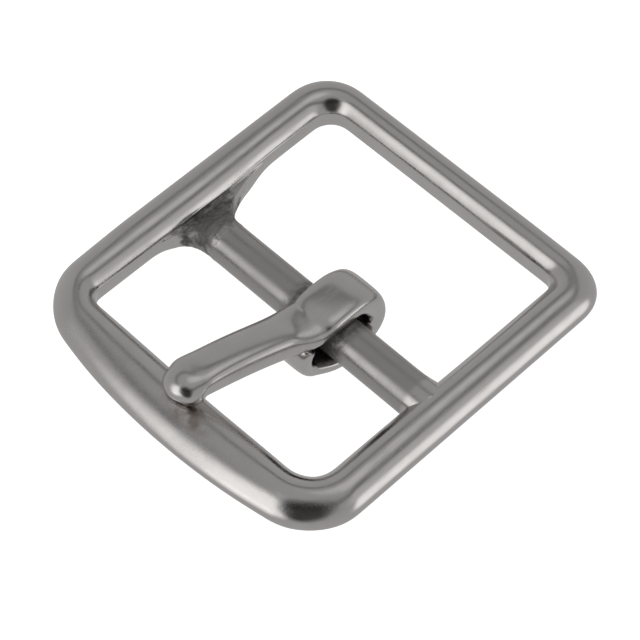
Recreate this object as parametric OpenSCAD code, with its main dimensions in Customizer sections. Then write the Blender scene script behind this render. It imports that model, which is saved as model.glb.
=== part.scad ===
// Belt buckle for a 38 mm strap: a one-piece cast frame with a centre bar, and a prong that swings on the bar.
// The origin is on the axis of the centre bar, halfway between the side bars.
// +X points to the back bar, -X to the front bar that the prong's tip rests on, and +Y along the centre bar.

/* [Frame] */
// Overall width, across the two side bars
frame_w = 51; // [48:0.5:56]
// Thickness of the frame, from its flat back to its crown
frame_t = 4.8; // [4:0.1:5.4]
// Width of each side bar
side_bar_w = 5.6; // [4.8:0.1:6.4]
// From the centre bar's axis to the outside of the back bar
back_reach = 28.6; // [28:0.1:32]
// Width of the back bar
back_bar_w = 4.6; // [4:0.1:5.2]
// From the centre bar's axis to the outside of the front bar, at its corners
front_reach = 23.3; // [23:0.1:24]
// Width of the front bar at its corners
front_bar_w = 4.6; // [4.2:0.1:4.8]
// How far the middle of the front bar bows out
front_bow = 3.4; // [2:0.1:4]
// Outer corner radius beside the back bar
back_corner_r = 6; // [5:0.1:8]
// Outer corner radius beside the front bar
front_corner_r = 7; // [6:0.1:9]
// Inner corner radius of the frame
inner_corner_r = 2.4; // [1.5:0.1:3]

/* [Centre bar] */
// Diameter of the centre bar
bar_d = 5.7; // [5.4:0.1:5.7]
// How far the bar's axis lies below the middle of the frame's thickness
bar_drop = 0.66; // [0.4:0.02:0.7]
// Diameter that the bar grows to where it meets each side bar
root_d = 6; // [5.8:0.1:6.4]
// Length over which it grows
root_l = 1.4; // [0.8:0.1:2]
// How far the cast web at the +Y end reaches along the bar
web_l = 5.6; // [3:0.1:7]
// Reach of the web's long side along the side bar, from the bar's axis
web_back = 12.5; // [8:0.1:14]
// Reach of the web's short side
web_front = 7; // [5:0.1:9]
// Thickness of the web, up from the frame's flat back
web_t = 2.6; // [1.5:0.1:3]

/* [Prong] */
// Gap between the bar and the inside of the prong's loop
loop_gap = 0.1; // [0.05:0.01:0.1]
// Thickness of the loop round the bar
loop_t = 2.3; // [2:0.1:2.4]
// Width of the loop along the bar
loop_w = 7; // [6:0.1:7.2]
// Where the middle of the loop sits along the bar
prong_y = -3.4; // [-6:0.05:2]
// How far the loop's eye is stretched towards the back bar
eye_back = 2.2; // [1:0.1:2.4]
// How far the loop's eye is stretched towards the front bar
eye_front = 2.4; // [1.5:0.1:2.6]
// From the bar's axis to the end of the prong's tip
prong_reach = 22.9; // [21.5:0.1:23]
// Width of the shank
shank_w = 6; // [5:0.1:6.2]
// Thickness of the shank at the tip
shank_t = 3.2; // [2.6:0.1:3.4]
// Sideways angle of the shank, so that its tip lies near the middle of the front bar
shank_yaw = 11.5; // [0:0.5:12]
// Gap between the end of the loop and the shank it closes on
loop_slit = 0.3; // [0.2:0.05:0.5]

/* [Hidden] */
steel = [0.62, 0.61, 0.59];
$fn = 96;

half_w = frame_w / 2;
frame_z = bar_drop;                        // middle of the frame's thickness
crown_z = frame_z + frame_t / 2;
back_z = frame_z - frame_t / 2;
section_power = 2.4;                       // squareness of the rounded bar section
belly = 1.15;                              // the section's lower half before its back is cut flat
section_steps = 16;
corner_steps = 6;
bow_steps = 8;
inner_half_w = half_w - side_bar_w;        // from the middle to the inside of a side bar
bar_embed = 1.2;                           // how far the bar runs on into each side bar
web_steps = 8;
web_bite = 0.5;                            // how far the web's ends run into the wall
web_root = bar_d / 2 - 0.4;                // the web's hollow edges end just inside the bar's sides
web_rise = 0.2;                            // the web's lower face stays this far above the flat back
eye_r = bar_d / 2 + loop_gap;
loop_r = eye_r + loop_t;
shank_z = crown_z + 0.04;                  // underside of the shank, just clear of the front bar
shank_root_x = -2.6;                       // where the shank leaves the pad over the bar
shank_l = (prong_reach + shank_root_x) / cos(shank_yaw);
pad_z = loop_r;
front_thin = 0.4;                          // the loop's metal is this much thinner in front of the bar
crease = 0.2;                              // depth of the crease between the pad and the shank
crease_x = 1;                              // places along the shank, from the pad's front edge
shank_start = 4;
nose_l = 2.2;                              // length over which the tip rounds down
nose_top = [0.7, 0.75];                    // a corner of the nose: back from its end, share of the thickness
nose_end = 0.4;                            // height of the very end, as a share of the thickness
nose_under = 0.5;                          // how far the underside stops short of the end

// A point moved out with the bow, which is fullest at the middle of the front bar and dies out towards the bar
function bowed(p, bow) = [p.x - bow * (1 - pow(p.y / half_w, 2)) * pow(max(0, -p.x) / front_reach, 3), p.y];

function corner(cx, cy, r, from) =
    [for (i = [0 : corner_steps]) let (a = from + 90 * i / corner_steps) [cx + r * cos(a), cy + r * sin(a)]];

// Closed outline of a rounded rectangle, in the same number of points for every size
function outline(x_front, x_back, hw, r_front, r_back) = concat(
    corner(x_back - r_back, hw - r_back, r_back, 0),
    corner(-x_front + r_front, hw - r_front, r_front, 90),
    [for (i = [1 : bow_steps - 1]) [-x_front, (hw - r_front) * (1 - 2 * i / bow_steps)]],
    corner(-x_front + r_front, -hw + r_front, r_front, 180),
    corner(x_back - r_back, -hw + r_back, r_back, 270));

outer_line = [for (p = outline(front_reach, back_reach, half_w, front_corner_r, back_corner_r)) bowed(p, front_bow)];
inner_line = outline(front_reach - front_bar_w, back_reach - back_bar_w, half_w - side_bar_w,
                     inner_corner_r, inner_corner_r);

function power_of(v, n) = sign(v) * pow(abs(v), n);

// One point of the section between an inner and an outer point
function section_point(inner, outer, a) =
    let (across = (1 + power_of(cos(a), 2 / section_power)) / 2,
         up = power_of(sin(a), 2 / section_power) * frame_t / 2 * (sin(a) < 0 ? belly : 1),
         p = inner + (outer - inner) * across)
    [p.x, p.y, frame_z + up];

// The ring of bars as one swept skin
module ring_skin() {
    stations = len(outer_line);
    points = [for (k = [0 : stations - 1], j = [0 : section_steps - 1])
              section_point(inner_line[k], outer_line[k], 360 * j / section_steps)];
    faces = [for (k = [0 : stations - 1], j = [0 : section_steps - 1])
             let (k2 = (k + 1) % stations, j2 = (j + 1) % section_steps)
             [k * section_steps + j, k * section_steps + j2, k2 * section_steps + j2, k2 * section_steps + j]];
    polyhedron(points, faces, convexity = 4);
}

module along_y(l, center = true) {
    rotate([-90, 0, 0]) linear_extrude(l, center = center) children();
}

// A hollow edge: a quarter ellipse from the wall, at some reach from the bar's axis, to the side of the bar
function hollow(reach) =
    [for (i = [0 : web_steps]) let (a = 90 * i / web_steps)
     [web_root + (reach - web_root) * (1 - sin(a)), web_bite - (web_l + web_bite) * (1 - cos(a))]];

// The web left by casting where the bar joins the +Y side bar
module web() {
    long_edge = hollow(web_back);
    short_edge = [for (p = hollow(web_front)) [-p.x, p.y]];
    translate([0, inner_half_w, back_z + web_rise])
        linear_extrude(web_t)
            polygon(concat([[web_back, bar_embed]], long_edge,
                           [for (i = [web_steps : -1 : 0]) short_edge[i]], [[-web_front, bar_embed]]));
}

// The round bar: it swells a little at each side bar's wall, then tapers inside it to stay above the flat back
module centre_bar() {
    wall = inner_half_w;
    end = wall + bar_embed;
    half = [[0, end], [-back_z, end], [root_d / 2, wall], [bar_d / 2, wall - root_l]];
    rotate([-90, 0, 0])
        rotate_extrude()
            polygon(concat(half, [for (i = [3 : -1 : 0]) [half[i].x, -half[i].y]]));
    web();
}

module frame() {
    color(steel)
    union() {
        difference() {
            ring_skin();
            translate([0, 0, back_z - frame_t])
                cube([3 * frame_w, 2 * frame_w, 2 * frame_t], center = true);
        }
        centre_bar();
    }
}

// A round-ended slot shape lying along X
module slot_shape(r, front, back) {
    translate([-front, 0]) circle(r);
    translate([back, 0]) circle(r);
    translate([-front, -r]) square([front + back, 2 * r]);
}

// The loop round the bar: seen from the side with +X to the right
module loop() {
    translate([0, prong_y, 0])
        along_y(loop_w)
            difference() {
                slot_shape(loop_r, eye_front - front_thin, eye_back);
                slot_shape(eye_r, eye_front, eye_back);
                translate([-eye_front - 2 * loop_r, -eye_r])
                    square([2 * loop_r, loop_slit]);
            }
}

// The straight shank, cut from its side shape and its plan shape
module shank() {
    tip_r = shank_w / 2;
    translate([shank_root_x, prong_y, 0])
        rotate([0, 0, 180 - shank_yaw])
            intersection() {
                rotate([90, 0, 0])
                    linear_extrude(2 * shank_w, center = true)
                        polygon([[-crease_x, eye_r], [-crease_x, pad_z], [crease_x, pad_z - crease],
                                 [shank_start, pad_z], [shank_l - nose_l, shank_z + shank_t],
                                 [shank_l - nose_top.x, shank_z + nose_top.y * shank_t],
                                 [shank_l, shank_z + nose_end * shank_t], [shank_l - nose_under, shank_z],
                                 [shank_l - shank_start, shank_z], [shank_start, eye_r + loop_gap / 2]]);
                union() {
                    translate([-crease_x, -shank_w / 2, 0]) cube([shank_l + crease_x - tip_r, shank_w, 3 * loop_r]);
                    translate([shank_l - tip_r, 0, 0]) cylinder(r = tip_r, h = 3 * loop_r);
                }
            }
}

module prong() {
    color(steel)
    union() {
        loop();
        shank();
    }
}

frame();
prong();
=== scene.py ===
import math

import bmesh
import bpy
from mathutils import Matrix, Vector, noise


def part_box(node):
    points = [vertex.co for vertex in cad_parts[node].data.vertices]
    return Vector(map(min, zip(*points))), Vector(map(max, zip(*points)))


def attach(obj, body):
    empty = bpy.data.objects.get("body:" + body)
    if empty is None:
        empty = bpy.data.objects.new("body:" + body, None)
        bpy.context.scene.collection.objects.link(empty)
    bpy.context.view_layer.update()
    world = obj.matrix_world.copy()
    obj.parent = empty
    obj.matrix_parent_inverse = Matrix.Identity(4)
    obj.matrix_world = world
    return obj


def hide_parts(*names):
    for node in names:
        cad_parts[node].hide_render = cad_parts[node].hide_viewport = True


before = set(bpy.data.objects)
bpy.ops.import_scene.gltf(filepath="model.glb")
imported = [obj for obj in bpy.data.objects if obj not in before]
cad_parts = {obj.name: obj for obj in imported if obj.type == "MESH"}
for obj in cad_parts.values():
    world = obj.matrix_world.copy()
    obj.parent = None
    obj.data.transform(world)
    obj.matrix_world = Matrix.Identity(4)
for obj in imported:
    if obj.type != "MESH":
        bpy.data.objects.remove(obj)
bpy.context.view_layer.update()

bl_info = {
    "name": "Belt buckle",
    "version": (1, 0, 0),
    "blender": (4, 5, 0),
    "location": "3D View > Sidebar > Buckle",
    "description": "A cast centre-bar belt buckle with its prong, in polished steel",
    "category": "Object",
}

MM = 0.001
FRAME_LOW, FRAME_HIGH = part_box("frame")
PRONG_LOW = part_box("prong")[0]


# ---------------------------------------------------------------- settings


class BuckleFrameSettings(bpy.types.PropertyGroup):
    half_width: bpy.props.FloatProperty(
        name="Half width",
        description="From the middle to the outside of a side bar",
        default=FRAME_HIGH.y,
        subtype="DISTANCE",
        unit="LENGTH",
    )
    side_bar: bpy.props.FloatProperty(
        name="Side bar",
        description="Width of each side bar",
        default=5.6 * MM,
        subtype="DISTANCE",
        unit="LENGTH",
    )
    back_reach: bpy.props.FloatProperty(
        name="Back reach",
        description="From the centre bar's axis to the outside of the back bar",
        default=FRAME_HIGH.x + 0.1 * MM,
        subtype="DISTANCE",
        unit="LENGTH",
    )
    back_bar: bpy.props.FloatProperty(
        name="Back bar",
        description="Width of the back bar",
        default=4.43 * MM,
        subtype="DISTANCE",
        unit="LENGTH",
    )
    front_bow: bpy.props.FloatProperty(
        name="Front bow",
        description="How far the middle of the front bar bows out",
        default=3.3 * MM,
        subtype="DISTANCE",
        unit="LENGTH",
    )
    front_bar: bpy.props.FloatProperty(
        name="Front bar",
        description="Width of the front bar at its corners",
        default=4.6 * MM,
        subtype="DISTANCE",
        unit="LENGTH",
    )
    back_corner: bpy.props.FloatProperty(
        name="Back corner",
        description="Outer radius of the corners beside the back bar",
        default=6.4 * MM,
        subtype="DISTANCE",
        unit="LENGTH",
    )
    front_corner: bpy.props.FloatProperty(
        name="Front corner",
        description="Outer radius of the corners beside the front bar",
        default=7.6 * MM,
        subtype="DISTANCE",
        unit="LENGTH",
    )
    inner_corner: bpy.props.FloatProperty(
        name="Inner corner",
        description="Radius of the corners of the opening",
        default=2.4 * MM,
        subtype="DISTANCE",
        unit="LENGTH",
    )
    back_z: bpy.props.FloatProperty(
        name="Back height",
        description="Height of the frame's flat back, below the centre bar's axis",
        default=-1.74 * MM,
        subtype="DISTANCE",
        unit="LENGTH",
    )
    crown_z: bpy.props.FloatProperty(
        name="Crown height",
        description="Height of the bars' crown above the centre bar's axis",
        default=FRAME_HIGH.z,
        subtype="DISTANCE",
        unit="LENGTH",
    )
    bar_radius: bpy.props.FloatProperty(
        name="Centre bar radius",
        description="Radius of the centre bar",
        default=2.9 * MM,
        subtype="DISTANCE",
        unit="LENGTH",
    )
    web_back: bpy.props.FloatProperty(
        name="Web, long side",
        description="Reach of the cast web along the left side bar, towards the back bar",
        default=12.5 * MM,
        subtype="DISTANCE",
        unit="LENGTH",
    )
    web_front: bpy.props.FloatProperty(
        name="Web, short side",
        description="Reach of the cast web towards the front bar",
        default=7.0 * MM,
        subtype="DISTANCE",
        unit="LENGTH",
    )


class BuckleProngSettings(bpy.types.PropertyGroup):
    loop_y: bpy.props.FloatProperty(
        name="Loop place",
        description="Where the middle of the loop sits along the centre bar",
        default=-3.45 * MM,
        subtype="DISTANCE",
        unit="LENGTH",
    )
    loop_width: bpy.props.FloatProperty(
        name="Loop width",
        description="Width of the loop",
        default=7.1 * MM,
        subtype="DISTANCE",
        unit="LENGTH",
    )
    loop_thickness: bpy.props.FloatProperty(
        name="Loop thickness",
        description="Thickness of the metal bent round the bar",
        default=2.25 * MM,
        subtype="DISTANCE",
        unit="LENGTH",
    )
    loop_back: bpy.props.FloatProperty(
        name="Loop, back",
        description="From the bar's axis to the middle of the metal behind it",
        default=6.55 * MM,
        subtype="DISTANCE",
        unit="LENGTH",
    )
    loop_front: bpy.props.FloatProperty(
        name="Loop, front",
        description="From the bar's axis to the middle of the metal in front of it",
        default=6.15 * MM,
        subtype="DISTANCE",
        unit="LENGTH",
    )
    shank_width: bpy.props.FloatProperty(
        name="Shank width",
        description="Width of the shank",
        default=5.6 * MM,
        subtype="DISTANCE",
        unit="LENGTH",
    )
    shank_thickness: bpy.props.FloatProperty(
        name="Shank thickness",
        description="Thickness of the shank near its tip",
        default=3.4 * MM,
        subtype="DISTANCE",
        unit="LENGTH",
    )
    shank_slope: bpy.props.FloatProperty(
        name="Sideways slope",
        description="How far the shank moves sideways for each unit of its length",
        default=0.219,
    )
    reach: bpy.props.FloatProperty(
        name="Reach",
        description="From the bar's axis to the end of the tip",
        default=-PRONG_LOW.x,
        subtype="DISTANCE",
        unit="LENGTH",
    )


class BuckleFinishSettings(bpy.types.PropertyGroup):
    steel: bpy.props.FloatVectorProperty(
        name="Steel",
        description="Colour of the polished steel",
        subtype="COLOR",
        size=3,
        min=0.0,
        max=1.0,
        default=(0.600, 0.577, 0.566),
    )
    # Also the colour of the painted shade and grime round the loop
    cast_skin: bpy.props.FloatVectorProperty(
        name="Cast skin",
        description="Colour of the unpolished casting skin",
        subtype="COLOR",
        size=3,
        min=0.0,
        max=1.0,
        default=(0.090, 0.085, 0.080),
    )
    # Brown of the mark under the tip, which also paints the tip's contact shadow
    stain_and_shadow: bpy.props.FloatVectorProperty(
        name="Stain and shadow",
        description="Colour of the brown wear marks",
        subtype="COLOR",
        size=3,
        min=0.0,
        max=1.0,
        default=(0.200, 0.150, 0.110),
    )


class BuckleStageSettings(bpy.types.PropertyGroup):
    azimuth: bpy.props.FloatProperty(
        name="Azimuth",
        description="Direction that the camera looks from",
        default=math.radians(-44.9),
        subtype="ANGLE",
        unit="ROTATION",
    )
    elevation: bpy.props.FloatProperty(
        name="Elevation",
        description="Height of the camera above the floor, as an angle",
        default=math.radians(55.14),
        subtype="ANGLE",
        unit="ROTATION",
    )
    distance: bpy.props.FloatProperty(
        name="Distance",
        description="From the camera to the buckle",
        default=325.9 * MM,
        subtype="DISTANCE",
        unit="LENGTH",
    )
    lens: bpy.props.FloatProperty(name="Lens", description="Focal length in millimetres", default=147.5)


# ------------------------------------------------------------ mesh helpers


def ring_of(bm, points):
    """A closed ring of vertices: a circle whose vertices are moved to the section's points."""
    made = bmesh.ops.create_circle(bm, cap_ends=False, segments=len(points), radius=MM)
    for vert, point in zip(made["verts"], points):
        vert.co = point
    return made["verts"]


def ring_edges(ring):
    """The edges that join the ring's own vertices."""
    members = set(ring)
    return list({edge for vert in ring for edge in vert.link_edges if edge.other_vert(vert) in members})


def bridge(bm, first, second):
    """Faces between two closed rings of edges."""
    bmesh.ops.bridge_loops(bm, edges=first + second)


def face_between(corners):
    """The one face that has all these corners."""
    shared = set(corners[0].link_faces)
    for vert in corners[1:]:
        shared &= set(vert.link_faces)
    return shared.pop()


def finished_object(bm, name, subdivisions):
    """The cage as an object with smooth shading, rounded by its subdivision modifier."""
    bmesh.ops.recalc_face_normals(bm, faces=bm.faces)
    for face in bm.faces:
        face.smooth = True
    mesh = bpy.data.meshes.new(name)
    bm.to_mesh(mesh)
    bm.free()
    piece = bpy.data.objects.new(name, mesh)
    bpy.context.scene.collection.objects.link(piece)
    smooth = piece.modifiers.new("smooth casting", "SUBSURF")
    smooth.levels = subdivisions
    smooth.render_levels = subdivisions
    return piece


def ease(value, low, high):
    """0 at low, 1 at high, and smooth between them."""
    share = min(1.0, max(0.0, (value - low) / (high - low)))
    return share * share * (3 - 2 * share)


# --------------------------------------------------------------- the frame


def bar_section(dims, slope):
    """Section of a bar as (across, inset, height).

    Across is a share of the bar's width, and inset a further distance in from its inner side. At slope 0 the
    dome is broad and even. At 1 its outer side falls away in a long slope.
    """
    crown, back = dims.crown_z, dims.back_z
    widest = (0.5 - 0.4 * slope) * MM  # height of the outermost place
    edge = 1.15 * MM  # height where the inner wall turns over
    top = 0.5 - 0.06 * slope  # where the crown lies across the bar
    power = 2.4 - 0.8 * slope  # squareness of the outer side
    # from the flat back up the inner wall
    points = [(0.36, 0.0, back), (0.0, 1.1 * MM, back), (0.0, 0.32 * MM, back + 0.2 * MM)]
    points += [(0.0, 0.0, back + 0.75 * MM), (0.0, 0.0, 0.1 * MM), (0.0, 0.0, edge - 0.32 * MM)]
    points += [(0.0, 0.03 * MM, edge)]
    # up to the crown
    for share in (0.1, 0.34, 0.66, 1.0):
        points.append((top * share, 0.0, crown - (crown - edge) * (1 - share) ** 2.3))
    # down to the outermost place, then under it to the flat back
    for step in (75, 60, 45, 30, 15, 0):
        turn = math.radians(step)
        across = top + (1 - top) * math.cos(turn) ** (2 / power)
        points.append((across, 0.0, widest + (crown - widest) * math.sin(turn) ** (2 / power)))
    for step in (30, 60, 90):
        turn = math.radians(step)
        points.append((0.68 + 0.32 * math.cos(turn), 0.0, widest - (widest - back) * math.sin(turn)))
    points.append((0.52, 0.0, back))
    return points


# The centre bar joins a hole in the left inner wall, which lies between these points of the bar's section and
# is this many stations long
HOLE_ROWS = (0, 5)
HOLE_STATIONS = 4
# How far past a corner the next point lies, to keep the straight parts straight
CORNER_HOLD = 0.9 * MM
# Length along the centre bar over which its left end spreads into the web
WEB_LENGTH = 4.6 * MM


def corner_arc(centre, radius, start, steps):
    """An arc of 90 degrees, with one more point just past each end to keep the straight parts straight."""
    turns = [math.radians(start + 90 * i / steps) for i in range(steps + 1)]
    arc = [Vector((centre[0] + radius * math.cos(t), centre[1] + radius * math.sin(t))) for t in turns]
    before = arc[0] + Vector((math.sin(turns[0]), -math.cos(turns[0]))) * CORNER_HOLD
    after = arc[-1] + Vector((-math.sin(turns[-1]), math.cos(turns[-1]))) * CORNER_HOLD
    return [before] + arc + [after]


def ring_stations(dims, steps=7):
    """Pairs of inner and outer points round the frame, and the number of the pair where the hole starts."""
    half, side, bow = dims.half_width, dims.side_bar, dims.front_bow
    back, front = dims.back_reach, -FRAME_LOW.x - bow
    in_back, in_front = back - dims.back_bar, front - dims.front_bar
    wall = half - side

    def inner_wall(x, sy):
        """The openings are a little out of square: wider at the left back, narrower at the right front."""
        if sy > 0:
            return wall + (0.08 + 0.28 * ease(x, 6 * MM, 16 * MM)) * MM
        return -wall + (0.25 + 0.25 * (1 - ease(x, -8 * MM, 10 * MM))) * MM

    def corners(index, radius_out, radius_in):
        sx = (1, -1, -1, 1)[index]
        sy = (1, 1, -1, -1)[index]
        far, near = (back, in_back) if sx > 0 else (front, in_front)
        outer = corner_arc((sx * (far - radius_out), sy * (half - radius_out)), radius_out, 90 * index, steps)
        side_in = inner_wall(sx * near, sy)
        inner = corner_arc((sx * (near - radius_in), side_in - sy * radius_in), radius_in, 90 * index, steps)
        return list(zip(inner, outer))

    def side_pairs(places, sy):
        return [(Vector((x, inner_wall(x, sy))), Vector((x, sy * half))) for x in places]

    def cross_pairs(last, first, x_in, x_out, rows):
        """Rows along the front or the back bar, between the ends of two corners."""
        made = []
        for i in range(1, rows):
            share = i / rows
            y_in = last[0].y + (first[0].y - last[0].y) * share
            y_out = last[1].y + (first[1].y - last[1].y) * share
            made.append((Vector((x_in, y_in)), Vector((x_out, y_out))))
        return made

    # no two corners of the casting are quite alike
    left_back = corners(0, dims.back_corner, dims.inner_corner + 0.5 * MM)
    left_front = corners(1, dims.front_corner - 0.8 * MM, dims.inner_corner - 0.4 * MM)
    right_front = corners(2, dims.front_corner - 1.0 * MM, dims.inner_corner + 1.6 * MM)
    right_back = corners(3, dims.back_corner - 1.2 * MM, dims.inner_corner - 0.5 * MM)
    left_hole = [dims.web_back, 4.4 * MM, 0.0, -3.2 * MM, -dims.web_front]
    pairs = left_back + side_pairs([dims.web_back + 2.2 * MM], 1)
    left_start = len(pairs)
    pairs += side_pairs(left_hole + [-dims.web_front - 2.2 * MM], 1) + left_front
    pairs += cross_pairs(left_front[-1], right_front[0], -in_front, -front, 8)
    pairs += right_front + side_pairs([-9 * MM, -3 * MM, 3 * MM, 9 * MM], -1) + right_back
    pairs += cross_pairs(right_back[-1], left_back[0], in_back, back, 6)

    # the front bar's bow, then the small unevenness of the back bar and the front bar
    for inner, outer in pairs:
        fullness = (1 - (outer.y / half) ** 2) * max(0.0, -outer.x / front) ** 3
        outer.x -= bow * fullness
        if outer.x > 0:
            outer.x += (0.1 + 0.15 * ease(-outer.y, 12 * MM, 24 * MM)) * MM * ease(outer.x, 20 * MM, 26 * MM)
            inner.x += 0.1 * MM * ease(inner.x, 20 * MM, 24 * MM)
        else:
            ends = 0.3 * ease(outer.y, 12 * MM, 22 * MM) + 0.15 * ease(-outer.y, 12 * MM, 22 * MM)
            outer.x += ends * MM * ease(-outer.x, 17 * MM, 22 * MM)
            outer.y += 0.2 * MM * ease(-outer.x, 12 * MM, 20 * MM) * ease(outer.y, 20 * MM, 25 * MM)
            ends = 0.2 * ease(-inner.y, 0.0, 14 * MM) + 0.15 * ease(inner.y, 0.0, 14 * MM)
            inner.x += ends * MM * ease(-inner.x, 17 * MM, 18.5 * MM)
    return pairs, left_start


def hole_places(rings, start):
    """The points round the hole: along the top, down the front, back along the bottom and up."""
    low, high = HOLE_ROWS
    end = start + HOLE_STATIONS
    loop = [rings[k][high] for k in range(start, end)]
    loop += [rings[end][j] for j in range(high, low, -1)]
    loop += [rings[k][low] for k in range(end, start, -1)]
    loop += [rings[start][j] for j in range(low, high)]
    return [vert.co.copy() for vert in loop]


def bar_ring_points(dims, y, hole):
    """The centre bar's section at one place along it.

    At the left it spreads into the web, to meet the hole. At the right its back side swells a little.
    """
    r = dims.bar_radius
    wall = dims.half_width - dims.side_bar
    near = min(1.0, max(0.0, (y - wall + WEB_LENGTH) / WEB_LENGTH))
    dip = ease(y, wall - WEB_LENGTH, wall - 0.4 * MM)
    right = ease(-y, wall - 2.4 * MM, wall + 0.2 * MM)
    points = []
    for i, place in enumerate(hole):
        turn = math.radians(50 + 20 * i)
        x, z = r * math.cos(turn), r * math.sin(turn)
        x += 0.45 * MM * right * max(0.0, math.cos(turn)) ** 3
        power = 1.9 if place.x > 0 else 2.7
        x += (place.x - x) * (1 - (1 - near**power) ** (1 / power))
        z += (place.z - z) * dip
        points.append(Vector((x, y, z)))
    return points


def roughen(bm, dims):
    """Cuts the web's faces small and moves their corners in and out, as the mould leaves them."""
    wall = dims.half_width - dims.side_bar

    def amount(place):
        """1 where the web is rough, 0 where the wheel has been, with a frayed line between them."""
        frayed = place.y + 0.9 * MM * noise.noise(place / (1.3 * MM))
        on_web = ease(frayed, wall - 5.3 * MM, wall - 4.5 * MM)
        on_wall = ease(place.y, wall - 0.1 * MM, wall + 0.2 * MM)
        return on_web * (1 - on_wall) * (1 - ease(abs(place.x - 1.1 * MM), 3.3 * MM, 5.6 * MM))

    for longest in (1.0, 0.5, 0.3):
        long_edges = [edge for edge in bm.edges if edge.calc_length() > longest * MM]
        edges = [edge for edge in long_edges if max(amount(vert.co) for vert in edge.verts) > 0.0]
        bmesh.ops.subdivide_edges(bm, edges=edges, cuts=1, use_grid_fill=True)
    bm.normal_update()
    moves = []
    for vert in bm.verts:
        strength = amount(vert.co)
        if strength > 0.0:
            grain = noise.noise(vert.co / (0.8 * MM)) * 0.05
            grain += noise.noise(vert.co / (0.33 * MM)) * 0.09
            moves.append((vert, vert.normal * (grain - 0.03) * strength * MM))
    for vert, move in moves:
        vert.co += move


def open_hole(bm, rings, start):
    """Takes out the inner wall's faces where the centre bar joins, and gives the edges round the hole."""
    faces = []
    for k in range(start, start + HOLE_STATIONS):
        for j in range(*HOLE_ROWS):
            corners = [rings[k][j], rings[k][j + 1], rings[k + 1][j + 1], rings[k + 1][j]]
            faces.append(face_between(corners))
    bmesh.ops.delete(bm, geom=faces, context="FACES")
    return [edge for edge in bm.edges if edge.is_boundary]


def build_frame(dims):
    """The ring of bars, then the centre bar, which starts inside the right side bar and ends in the web."""
    bm = bmesh.new()
    pairs, left_start = ring_stations(dims)
    rings = []
    for inner, outer in pairs:
        across = outer - inner
        unit = across.normalized()
        # the front bar slopes most, the right side bar less
        slope = max(ease(-outer.x, 8 * MM, 21 * MM), 0.75 * ease(-outer.y, 15 * MM, 24 * MM))
        points = []
        for share, inset, height in bar_section(dims, slope):
            place = inner + across * share + unit * inset
            points.append(Vector((place.x, place.y, height)))
        rings.append(ring_of(bm, points))
    for first, second in zip(rings, rings[1:] + rings[:1]):
        bridge(bm, ring_edges(first), ring_edges(second))
    hole = hole_places(rings, left_start)
    left_edges = open_hole(bm, rings, left_start)
    wall = dims.half_width - dims.side_bar
    # places along the centre bar, close together where it swells and where it spreads
    places = [-wall - d * MM for d in (2.2, 1.0, 0.0)] + [-wall + d * MM for d in (0.7, 1.5, 2.6, 4.0)]
    places += [-10 * MM, -4 * MM, 4 * MM, 10 * MM]
    places += [wall - d * MM for d in (6.2, 5.0, 4.2, 3.4, 2.6, 1.9, 1.2, 0.65, 0.22)]
    bar = [ring_edges(ring_of(bm, bar_ring_points(dims, y, hole))) for y in places]
    for first, second in zip(bar, bar[1:] + [left_edges]):
        bridge(bm, first, second)
    bmesh.ops.contextual_create(bm, geom=bar[0])
    bmesh.ops.recalc_face_normals(bm, faces=bm.faces)
    roughen(bm, dims)
    return finished_object(bm, "buckle_frame", 2)


# --------------------------------------------------------------- the prong


# Section shapes: flatness of the top, fullness of the sides, share of the thickness below the widest place
NOSE_SHAPE = (2.0, 2.0, 0.3)
SHANK_SHAPE = (2.7, 3.0, 0.5)
CREASE_SHAPE = (2.4, 2.2, 0.4)
PAD_SHAPE = (4.4, 2.8, 0.35)
LOOP_SHAPE = (4.0, 3.2, 0.5)
# Squareness of every section's lower half
UNDER_POWER = 3.2

# Gap between the tip and the front bar's crown, and the pad's height above the crown
REST_GAP = 0.05 * MM
PAD_RISE = 2.12 * MM
# In plan the shank is in line with the loop up to this far in front of the bar's axis, and then bends to its
# slope over this length
BEND_START = 3.0 * MM
BEND = 2.0 * MM

# The nose: stations by their turn round it in degrees, its sizes and how blunt it is
NOSE_TURNS = (10, 26, 42, 58, 74, 90)
NOSE_LENGTH = 2.4 * MM
NOSE_WIDTH = 6.4 * MM
NOSE_INSET = 0.3 * MM  # how far it stops short of the full reach
NOSE_ASIDE = 0.14 * MM  # to the left of the shank's line
NOSE_PLAN_POWER = 0.62
NOSE_SIDE_POWER = 0.8
NOSE_LIFT = 0.12  # how much its underside rises as it gets thinner

# The shank: stations in millimetres from the bar's axis, and how deep it hangs there, from 0 to about 1
SHANK_STATIONS = (
    (-19.6, 0.0),
    (-18.4, 0.2),
    (-17.2, 0.6),
    (-15.0, 0.9),
    (-12.0, 1.0),
    (-9.0, 1.0),
    (-6.6, 1.2),
    (-4.9, 0.9),
)
SHANK_ROOT_WIDTH = 7.0 * MM
SHANK_ALLOWANCE = 0.45 * MM  # extra width, for what the rounding takes away
SHANK_LEAN = math.radians(13)

# The loop: stations by their turn round it in degrees, behind the bar and in front of it
LOOP_BACK_TURNS = (84, 66, 46, 24, 0, -24, -46, -68, -88)
LOOP_FRONT_TURNS = (-112, -130, -150, -170, -188, -206, -222)
LOOP_LOW = 4.35 * MM  # depth of the lower metal's middle, below the bar's axis
LOOP_FRONT_RADIUS = 3.2 * MM
BACK_SWELL = 0.4  # extra share of thickness behind the bar
SHOULDER_SWELL = 0.45  # extra share of thickness where the pad turns down
LOOP_SLUMP = 0.4 * MM  # how far the loop's lower back bulges out


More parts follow.
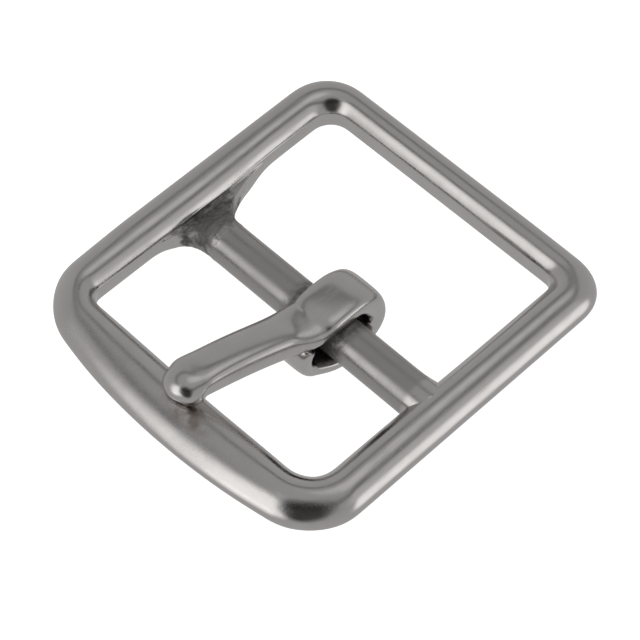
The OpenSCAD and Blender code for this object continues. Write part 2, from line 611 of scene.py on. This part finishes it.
def prong_section(width, thickness, shape, count=24):
    """The section of a rounded strip, as places across and up from its middle."""
    flat, full, under = shape
    points = []
    for i in range(count):
        turn = 2 * math.pi * (i + 0.5) / count
        c, s = math.cos(turn), math.sin(turn)
        if s > 0:
            across, up = abs(c) ** (2 / flat), s ** (2 / full) * (1 - under)
        else:
            across, up = abs(c) ** (2 / UNDER_POWER), -abs(s) ** (2 / UNDER_POWER) * under
        points.append((math.copysign(across, c) * width / 2, (up + under - 0.5) * thickness))
    return points


def prong_stations(dims):
    """Stations from the tip to the loop's end: centre, width, thickness and section shape."""
    stations = []
    wide, thick, y = dims.loop_width, dims.loop_thickness, dims.loop_y
    tip_thick = dims.shank_thickness
    rest = FRAME_HIGH.z + REST_GAP
    pad_top = FRAME_HIGH.z + PAD_RISE

    def side(x):
        """Where the shank's line in plan lies along the centre bar."""
        run = -x - BEND_START
        if run <= 0:
            return y
        return y + dims.shank_slope * (run * run / (2 * BEND) if run < BEND else run - BEND / 2)

    # the tip: a ball-like nose on the front bar, a little wider than the shank behind it
    for i in NOSE_TURNS:
        turn = math.radians(i)
        x = -dims.reach + NOSE_INSET + NOSE_LENGTH * (1 - math.cos(turn))
        width = NOSE_WIDTH * math.sin(turn) ** NOSE_PLAN_POWER
        height = tip_thick * math.sin(turn) ** NOSE_SIDE_POWER
        low = rest + NOSE_LIFT * (tip_thick - height)
        stations.append((Vector((x, side(x) + NOSE_ASIDE, low + height / 2)), width, height, NOSE_SHAPE))
    # the shank: thickest in the middle, where it hangs free between the bars
    for x, deep in SHANK_STATIONS:
        x *= MM
        share = ease(-x, 3.0 * MM, 15 * MM)
        top = pad_top + (rest + tip_thick - pad_top) * share
        thickness = tip_thick + 0.6 * MM * deep
        narrowing = dims.shank_width + SHANK_ALLOWANCE - SHANK_ROOT_WIDTH
        width = SHANK_ROOT_WIDTH + narrowing * ease(-x, 2 * MM, 8 * MM)
        middle = top - 0.16 * MM - thickness / 2 - 0.25 * MM * deep
        place = Vector((x, side(x) + (0.45 + 0.2 * deep) * MM, middle))
        stations.append((place, width, thickness, SHANK_SHAPE))
    # the crease and the pad
    lift = pad_top - thick / 2
    root = Vector((-3.4 * MM, side(-3.4 * MM), lift - 0.42 * MM))
    stations.append((root, wide * 0.94, thick * 1.2, PAD_SHAPE))
    stations.append((Vector((-2.7 * MM, y, lift - 0.3 * MM)), wide * 0.95, thick * 0.95, CREASE_SHAPE))
    stations.append((Vector((-1.9 * MM, y, lift - 0.02 * MM)), wide, thick, PAD_SHAPE))
    stations.append((Vector((1.0 * MM, y, lift + 0.02 * MM)), wide, thick, PAD_SHAPE))
    # the loop, going down behind the bar and forward under it
    back_radius = 0.5 * (lift + LOOP_LOW)
    middle = 0.5 * (lift - LOOP_LOW)
    back = dims.loop_back - back_radius
    for i in LOOP_BACK_TURNS:
        turn = math.radians(i)
        metal = thick * (1 + BACK_SWELL * math.cos(turn) ** 2 + SHOULDER_SWELL * max(0.0, math.sin(2 * turn)))
        radius = back_radius + (thick - metal) / 2
        slump = LOOP_SLUMP * max(0.0, math.sin(-2 * turn))
        centre = Vector((back + radius * math.cos(turn) + slump, y, middle + radius * math.sin(turn)))
        shape = PAD_SHAPE if i > 60 else LOOP_SHAPE
        stations.append((centre, wide, metal, shape))
    under = Vector((-1.0 * MM, y - 0.2 * MM, -4.42 * MM))
    stations.append((under, wide * 1.04, thick, LOOP_SHAPE))
    # then up in front of the bar, a little narrower, to end against the shank's underside
    radius = LOOP_FRONT_RADIUS
    front = -dims.loop_front + radius
    for i in LOOP_FRONT_TURNS:
        turn = math.radians(i)
        centre = Vector((front + radius * math.cos(turn), y + 0.2 * MM, radius * math.sin(turn)))
        stations.append((centre, wide * 0.9, thick, LOOP_SHAPE))
    return stations


def build_prong(dims):
    """The strip through all the stations. Its shank leans: the left side sits lower than the right side."""
    bm = bmesh.new()
    stations = prong_stations(dims)
    rings = []
    for k, (centre, width, thickness, shape) in enumerate(stations):
        before = stations[max(0, k - 1)][0]
        after = stations[min(len(stations) - 1, k + 1)][0]
        along = (after - before).normalized()
        across = Vector((0, 1, 0)) - along * along.y
        across.normalize()
        up = along.cross(across)
        lean = SHANK_LEAN * ease(-centre.x, 2.8 * MM, 5.5 * MM) * (1 - ease(-centre.x, 16 * MM, 20.5 * MM))
        on_shank = centre.z > 2.5 * MM and up.z > 0
        if on_shank:
            c, s = math.cos(lean), math.sin(lean)
            across, up = across * c - up * s, up * c + across * s
        points = [centre + across * a + up * u for a, u in prong_section(width, thickness, shape)]
        rings.append(ring_of(bm, points))
    for first, second in zip(rings, rings[1:]):
        bridge(bm, ring_edges(first), ring_edges(second))
    # close both ends
    for ring in (rings[0], rings[-1]):
        cap = bmesh.ops.contextual_create(bm, geom=ring_edges(ring))
        bmesh.ops.inset_region(bm, faces=cap["faces"], thickness=0.25 * MM, depth=0.0)
        bmesh.ops.poke(bm, faces=cap["faces"])
    return finished_object(bm, "prong_casting", 2)


# ---------------------------------------------------------------- finishes


class Nodes:
    """Short ways to add and join nodes in one node tree."""

    def __init__(self, tree):
        self.tree = tree

    def add(self, kind, **values):
        node = self.tree.nodes.new(kind)
        for name, value in values.items():
            setattr(node, name, value)
        return node

    def join(self, value, socket):
        if isinstance(value, bpy.types.NodeSocket):
            self.tree.links.new(value, socket)
        else:
            socket.default_value = value

    def math(self, operation, first, second=0.0):
        node = self.add("ShaderNodeMath", operation=operation)
        self.join(first, node.inputs[0])
        self.join(second, node.inputs[1])
        return node.outputs["Value"]

    def vector(self, operation, first, second):
        node = self.add("ShaderNodeVectorMath", operation=operation)
        self.join(first, node.inputs[0])
        self.join(second, node.inputs[1])
        return node.outputs["Value"] if operation in ("DOT_PRODUCT", "DISTANCE") else node.outputs["Vector"]

    def fade(self, value, low, high, start=0.0, end=1.0):
        """The start number up to low, the end number from high on, and smooth between them."""
        node = self.add("ShaderNodeMapRange", interpolation_type="SMOOTHSTEP")
        names = ("Value", "From Min", "From Max", "To Min", "To Max")
        for name, number in zip(names, (value, low, high, start, end)):
            self.join(number, node.inputs[name])
        return node.outputs["Result"]

    def noise(self, vector, scale, detail=2.0):
        node = self.add("ShaderNodeTexNoise")
        self.join(vector, node.inputs["Vector"])
        node.inputs["Scale"].default_value = scale
        node.inputs["Detail"].default_value = detail
        return node.outputs["Fac"]

    def turned(self, vector, turn, scale):
        node = self.add("ShaderNodeMapping")
        self.join(vector, node.inputs["Vector"])
        node.inputs["Rotation"].default_value = turn
        node.inputs["Scale"].default_value = scale
        return node.outputs["Vector"]

    def mix(self, share, first, second):
        node = self.add("ShaderNodeMix", data_type="RGBA")
        self.join(share, node.inputs[0])
        self.join(first, node.inputs[6])
        self.join(second, node.inputs[7])
        return node.outputs[2]


def effect_group(name, outputs):
    """An empty node group that takes a place on the piece and gives the named values."""
    group = bpy.data.node_groups.new(name, "ShaderNodeTree")
    group.interface.new_socket("Place", in_out="INPUT", socket_type="NodeSocketVector")
    for output in outputs:
        group.interface.new_socket(output, in_out="OUTPUT", socket_type="NodeSocketFloat")
    nodes = Nodes(group)
    place = nodes.add("NodeGroupInput").outputs["Place"]
    result = nodes.add("NodeGroupOutput")
    return group, nodes, place, result


# Depths of the marks in the polish
WAVE_DEPTH = 0.022 * MM
PEEL_DEPTH = 0.0028 * MM
SCRATCH_DEPTH = 0.0016 * MM
PIT_DEPTH = 0.02 * MM
# Height of the casting skin's grain
SKIN_HEIGHT = 0.09 * MM
# Middle of the grime and painted shade along the centre bar, and the place where the tip rests on the front
# bar, where a brown mark also paints its contact shadow
LOOP_PLACE = -3.25 * MM
SEAT = (-22.6 * MM, -2.4 * MM, 2.8 * MM)


def worn_polish():
    """Waves left by the polishing wheel, an orange-peel skin, fine scratches and a few small pits."""
    if "worn polish" in bpy.data.node_groups:
        return bpy.data.node_groups["worn polish"]
    group, n, place, result = effect_group("worn polish", ("Roughness", "Height", "Tone"))
    waves = n.noise(place, 330.0, 1.0)
    peel = n.noise(place, 1700.0, 2.0)
    clouds = n.noise(place, 190.0, 3.0)
    # three sets of long thin lines, each turned its own way; count leaves only the strongest
    scratches = 0.0
    for turn, count in (((0.3, 0.5, 0.2), 0.62), ((1.2, 0.1, 1.4), 0.64), ((0.2, 1.3, 2.3), 0.65)):
        lines = n.noise(n.turned(place, turn, (260.0, 6500.0, 6500.0)), 1.0, 1.0)
        scratches = n.math("MAXIMUM", scratches, n.fade(lines, count, count + 0.08))
    cells = n.add("ShaderNodeTexVoronoi")
    n.join(place, cells.inputs["Vector"])
    cells.inputs["Scale"].default_value = 520.0
    cells.inputs["Randomness"].default_value = 1.0
    few = n.fade(n.vector("DOT_PRODUCT", cells.outputs["Color"], (0.5, 0.5, 0.0)), 0.74, 0.80)
    pits = n.math("MULTIPLY", n.fade(cells.outputs["Distance"], 0.05, 0.11, 1.0, 0.0), few)
    height = n.math("MULTIPLY", waves, WAVE_DEPTH)
    height = n.math("ADD", height, n.math("MULTIPLY", peel, PEEL_DEPTH))
    height = n.math("SUBTRACT", height, n.math("MULTIPLY", scratches, SCRATCH_DEPTH))
    height = n.math("SUBTRACT", height, n.math("MULTIPLY", pits, PIT_DEPTH))
    rough = n.fade(clouds, 0.3, 0.7, 0.13, 0.24)
    rough = n.math("ADD", rough, n.math("MULTIPLY", scratches, 0.07))
    tone = n.math("SUBTRACT", n.fade(clouds, 0.25, 0.75, 1.0, 0.9), n.math("MULTIPLY", pits, 0.5))
    n.join(rough, result.inputs["Roughness"])
    n.join(height, result.inputs["Height"])
    n.join(tone, result.inputs["Tone"])
    return group


def grime_shade_and_stains():
    """Grime and painted shade in the loop and on the bar beside it, the duller centre bar, and a brown mark
    under the tip with a painted contact shadow.
    """
    if "grime, shade and stains" in bpy.data.node_groups:
        return bpy.data.node_groups["grime, shade and stains"]
    group, n, place, result = effect_group("grime, shade and stains", ("Grime and shade on bar", "Grime and shade in loop", "Dull", "Stain and shadow"))
    speckle = n.noise(place, 1500.0, 4.0)
    apart = n.add("ShaderNodeSeparateXYZ")
    n.join(place, apart.inputs[0])
    round_axis = n.vector("MULTIPLY", place, (1.0, 0.0, 1.0))
    from_axis = n.vector("DISTANCE", round_axis, (0.0, 0.0, 0.0))
    aside = n.math("ABSOLUTE", n.math("SUBTRACT", apart.outputs["Y"], LOOP_PLACE))
    # Painted shade with grime where the loop wraps the centre bar: dark close round the bar's axis and below
    # the loop's top, speckled
    near = n.fade(from_axis, 3.4 * MM, 5.2 * MM, 1.0, 0.0)
    near = n.math("MULTIPLY", near, n.fade(speckle, 0.35, 0.6, 0.45, 1.0))
    near = n.math("MULTIPLY", near, n.fade(apart.outputs["Z"], 2.9 * MM, 3.7 * MM, 1.0, 0.0))
    grime_and_shade_on_bar = n.math("MULTIPLY", near, n.fade(aside, 4.0 * MM, 6.0 * MM, 1.0, 0.0))
    inside = n.math("MULTIPLY", near, n.fade(aside, 2.2 * MM, 2.9 * MM, 1.0, 0.0))
    from_middle = n.math("ABSOLUTE", apart.outputs["Y"])
    dull = n.fade(from_axis, 3.0 * MM, 3.5 * MM, 1.0, 0.0)
    dull = n.math("MULTIPLY", dull, n.fade(from_middle, 18.4 * MM, 19.2 * MM, 1.0, 0.0))
    # Brown mark where the tip rests, which also stands in for a painted contact shadow
    from_seat = n.vector("SUBTRACT", place, SEAT)
    from_seat = n.vector("MULTIPLY", from_seat, (1.0, 0.45, 1.0))
    seat = n.fade(n.vector("DISTANCE", from_seat, (0.0, 0.0, 0.0)), 0.7 * MM, 2.2 * MM, 1.0, 0.0)
    stain_and_shadow = n.math("MULTIPLY", seat, n.fade(n.noise(place, 420.0, 3.0), 0.35, 0.62))
    n.join(grime_and_shade_on_bar, result.inputs["Grime and shade on bar"])
    n.join(inside, result.inputs["Grime and shade in loop"])
    n.join(dull, result.inputs["Dull"])
    n.join(stain_and_shadow, result.inputs["Stain and shadow"])
    return group


def cast_skin():
    """The rough casting skin that the wheel can't reach, on the web beside the left end of the centre bar."""
    if "cast skin" in bpy.data.node_groups:
        return bpy.data.node_groups["cast skin"]
    group, n, place, result = effect_group("cast skin", ("Skin", "Height"))
    grain = n.noise(place, 1900.0, 6.0)
    coarse = n.noise(place, 700.0, 3.0)
    apart = n.add("ShaderNodeSeparateXYZ")
    n.join(place, apart.inputs[0])
    frayed = n.math("ADD", apart.outputs["Y"], n.math("MULTIPLY", n.math("SUBTRACT", coarse, 0.5), 4.0 * MM))
    along = n.math("ABSOLUTE", n.math("SUBTRACT", apart.outputs["X"], 1.0 * MM))
    along = n.math("ADD", along, n.math("MULTIPLY", n.math("SUBTRACT", coarse, 0.5), 6.0 * MM))
    skin = n.fade(frayed, 14.6 * MM, 15.3 * MM)
    skin = n.math("MULTIPLY", skin, n.fade(along, 3.3 * MM, 5.8 * MM, 1.0, 0.0))
    skin = n.math("MULTIPLY", skin, n.fade(apart.outputs["Y"], 19.95 * MM, 20.15 * MM, 1.0, 0.0))
    bumps = n.math("MULTIPLY", grain, n.math("MULTIPLY", skin, SKIN_HEIGHT))
    skin = n.math("MULTIPLY", skin, n.fade(coarse, 0.38, 0.62, 1.0, 0.72))
    skin = n.math("MULTIPLY", skin, n.fade(grain, 0.35, 0.7, 1.0, 0.75))
    n.join(skin, result.inputs["Skin"])
    n.join(bumps, result.inputs["Height"])
    return group


def use_group(n, group, place):
    """Puts a node group in the tree and gives its outputs."""
    node = n.add("ShaderNodeGroup", node_tree=group)
    n.join(place, node.inputs["Place"])
    return node.outputs


def steel_material(name, finish, with_skin):
    """Polished steel with its wear, the grime and painted shade round the loop, and a brown mark with a painted
    contact shadow under the tip. With skin it has the casting skin and the duller bar too.
    """
    material = bpy.data.materials.new(name)
    material.use_nodes = True
    n = Nodes(material.node_tree)
    shader = material.node_tree.nodes["Principled BSDF"]
    place = n.add("ShaderNodeTexCoord").outputs["Object"]
    wear = use_group(n, worn_polish(), place)
    marks = use_group(n, grime_shade_and_stains(), place)
    worn_steel = (*[c * 0.55 for c in finish.steel], 1.0)
    dull_steel = (*[c * 0.5 for c in finish.steel], 1.0)
    colour = n.mix(wear["Tone"], worn_steel, (*finish.steel, 1.0))
    # Brown mark under the tip, dark enough to serve as its painted contact shadow too
    colour = n.mix(n.math("MULTIPLY", marks["Stain and shadow"], 0.7), colour, (*finish.stain_and_shadow, 1.0))
    # Painted shade with grime round the loop, in the casting skin's dark colour
    grime_and_shade = marks["Grime and shade on bar"] if with_skin else marks["Grime and shade in loop"]
    colour = n.mix(n.math("MULTIPLY", grime_and_shade, 0.92), colour, (*finish.cast_skin, 1.0))
    rough = n.math("ADD", wear["Roughness"], n.math("MULTIPLY", grime_and_shade, 0.35))
    rough = n.math("ADD", rough, n.math("MULTIPLY", marks["Stain and shadow"], 0.2))
    height = wear["Height"]
    if with_skin:
        skin = use_group(n, cast_skin(), place)
        colour = n.mix(n.math("MULTIPLY", skin["Skin"], 0.92), colour, (*finish.cast_skin, 1.0))
        rough = n.math("ADD", rough, n.math("MULTIPLY", skin["Skin"], 0.4))
        rough = n.math("ADD", rough, n.math("MULTIPLY", marks["Dull"], 0.11))
        height = n.math("ADD", height, skin["Height"])
        colour = n.mix(n.math("MULTIPLY", marks["Dull"], 0.5), colour, dull_steel)
    bump = n.add("ShaderNodeBump")
    bump.inputs["Distance"].default_value = 1.0
    n.join(height, bump.inputs["Height"])
    n.join(colour, shader.inputs["Base Color"])
    n.join(rough, shader.inputs["Roughness"])
    n.join(bump.outputs["Normal"], shader.inputs["Normal"])
    shader.inputs["Metallic"].default_value = 1.0
    return material


# ------------------------------------------------------------------- stage


# The point that the camera looks at
TARGET = (-0.51 * MM, -2.672 * MM, 0.683 * MM)
FLOOR_RADIUS = 0.9
FLOOR_GAP = 0.15 * MM
# Lamps round the buckle. In degrees: how far to the right of the camera, how high above the floor, how far from
# its middle the lamp is full, and where it ends. The last number is its strength.
LAMPS = (
    (-53, 27, 6, 32, 0.9),
    (-56, 4, 4, 16, 0.35),
    (-58, 52, 4, 16, 0.15),
    (73, 2, 6, 24, 0.8),
    (68, 30, 6, 20, 0.15),
    (120, 72, 4, 20, 0.25),
)
# The tent's open side, round the camera, in the same way. The last number is the share of light that it takes.
OPEN_SIDE = (-9, 41, 19, 36, 0.88)
# Height in degrees of the tent's dark rim
RIM = 51


def look_direction(azimuth, elevation):
    """From the buckle to the camera. At azimuth 0 the camera looks along +Y."""
    flat = math.cos(elevation)
    return Vector((math.sin(azimuth) * flat, -math.cos(azimuth) * flat, math.sin(elevation)))


def build_camera(dims):
    away = look_direction(dims.azimuth, dims.elevation)
    target = Vector(TARGET)
    data = bpy.data.cameras.new("camera")
    data.lens = dims.lens
    data.sensor_width = 36.0
    data.clip_start = 10 * MM
    camera = bpy.data.objects.new("camera", data)
    turned = away.to_track_quat("Z", "Y").to_matrix().to_4x4()
    camera.matrix_world = Matrix.Translation(target + away * dims.distance) @ turned
    bpy.context.scene.collection.objects.link(camera)
    bpy.context.scene.camera = camera


def build_floor():
    """A white table just below the buckle. The metal doesn't mirror it: the tent's light stands in for it."""
    bm = bmesh.new()
    bmesh.ops.create_circle(bm, cap_ends=True, segments=96, radius=FLOOR_RADIUS)
    low = min(FRAME_LOW.z, PRONG_LOW.z) - FLOOR_GAP
    bmesh.ops.translate(bm, verts=bm.verts, vec=(0, 0, low))
    mesh = bpy.data.meshes.new("floor")
    bm.to_mesh(mesh)
    bm.free()
    floor = bpy.data.objects.new("floor", mesh)
    bpy.context.scene.collection.objects.link(floor)
    floor.visible_glossy = False
    material = bpy.data.materials.new("white table")
    material.use_nodes = True
    shader = material.node_tree.nodes["Principled BSDF"]
    shader.inputs["Base Color"].default_value = (0.8, 0.8, 0.8, 1.0)
    shader.inputs["Roughness"].default_value = 1.0
    shader.inputs["Specular IOR Level"].default_value = 0.0
    shader.inputs["Emission Color"].default_value = (1.0, 1.0, 1.0, 1.0)
    shader.inputs["Emission Strength"].default_value = 0.9
    mesh.materials.append(material)


def build_world(dims):
    """The light tent, as it is seen in the metal. The camera itself sees plain white round the table."""
    world = bpy.data.worlds.new("light tent")
    bpy.context.scene.world = world
    world.use_nodes = True
    n = Nodes(world.node_tree)
    background = world.node_tree.nodes["Background"]
    background.inputs["Color"].default_value = (1.0, 1.0, 1.0, 1.0)
    direction = n.add("ShaderNodeTexCoord").outputs["Generated"]

    def beside_camera(turn, height):
        """A direction this far round from the camera, to the right as seen by the camera, and this high."""
        return look_direction(dims.azimuth + math.radians(turn), math.radians(height))

    def cosine(degrees):
        return math.cos(math.radians(degrees))

    def lamp(turn, height, full, edge, strength):
        near = n.vector("DOT_PRODUCT", direction, beside_camera(turn, height))
        return n.fade(near, cosine(edge), cosine(full), 0.0, strength)

    height = n.vector("DOT_PRODUCT", direction, (0.0, 0.0, 1.0))
    light = n.fade(height, -0.6, 0.9, 0.50, 0.42)
    rim = n.math("ABSOLUTE", n.math("SUBTRACT", height, math.sin(math.radians(RIM))))
    light = n.math("MULTIPLY", light, n.fade(rim, 0.02, 0.10, 0.55, 1.0))
    for values in LAMPS:
        light = n.math("ADD", light, lamp(*values))
    light = n.math("MULTIPLY", light, n.math("SUBTRACT", 1.0, lamp(*OPEN_SIDE)))
    seen = n.add("ShaderNodeMix", data_type="FLOAT")
    n.join(n.add("ShaderNodeLightPath").outputs["Is Camera Ray"], seen.inputs[0])
    n.join(light, seen.inputs[2])
    n.join(1.0, seen.inputs[3])
    n.join(seen.outputs[0], background.inputs["Strength"])


# --------------------------------------------------------------- operators


class BUCKLE_OT_frame(bpy.types.Operator):
    """Builds the cast frame with its centre bar"""

    bl_idname = "buckle.frame"
    bl_label = "Frame casting"

    def execute(self, context):
        piece = build_frame(context.scene.buckle_frame)
        steel = steel_material("polished frame steel", context.scene.buckle_finish, True)
        piece.data.materials.append(steel)
        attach(piece, "frame")
        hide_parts("frame")
        return {"FINISHED"}


class BUCKLE_OT_prong(bpy.types.Operator):
    """Builds the prong, with its loop round the centre bar"""

    bl_idname = "buckle.prong"
    bl_label = "Prong casting"

    def execute(self, context):
        piece = build_prong(context.scene.buckle_prong)
        steel = steel_material("polished prong steel", context.scene.buckle_finish, False)
        piece.data.materials.append(steel)
        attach(piece, "prong")
        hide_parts("prong")
        return {"FINISHED"}


class BUCKLE_OT_stage(bpy.types.Operator):
    """Sets the floor, the light and the camera"""

    bl_idname = "buckle.stage"
    bl_label = "Stage"

    def execute(self, context):
        context.scene.view_settings.view_transform = "Standard"
        build_floor()
        build_world(context.scene.buckle_stage)
        build_camera(context.scene.buckle_stage)
        return {"FINISHED"}


class BUCKLE_PT_panel(bpy.types.Panel):
    """The buckle's pieces and their sizes"""

    bl_idname = "BUCKLE_PT_panel"
    bl_label = "Belt buckle"
    bl_space_type = "VIEW_3D"
    bl_region_type = "UI"
    bl_category = "Buckle"

    def draw(self, context):
        layout = self.layout
        for group_name, operator in PIECES:
            box = layout.box()
            box.operator(operator)
            group = getattr(context.scene, group_name)
            for name in group.__annotations__:
                box.prop(group, name)


SETTINGS = {
    "buckle_frame": BuckleFrameSettings,
    "buckle_prong": BuckleProngSettings,
    "buckle_finish": BuckleFinishSettings,
    "buckle_stage": BuckleStageSettings,
}
PIECES = [
    ("buckle_frame", "buckle.frame"),
    ("buckle_prong", "buckle.prong"),
    ("buckle_stage", "buckle.stage"),
]
CLASSES = [*SETTINGS.values(), BUCKLE_OT_frame, BUCKLE_OT_prong, BUCKLE_OT_stage, BUCKLE_PT_panel]


def register():
    for each in CLASSES:
        bpy.utils.register_class(each)
    for name, group in SETTINGS.items():
        setattr(bpy.types.Scene, name, bpy.props.PointerProperty(type=group))


def unregister():
    for name in SETTINGS:
        delattr(bpy.types.Scene, name)
    for each in reversed(CLASSES):
        bpy.utils.unregister_class(each)


def main():
    register()
    bpy.ops.buckle.frame()
    bpy.ops.buckle.prong()
    bpy.ops.buckle.stage()


if __name__ == "__main__":
    main()
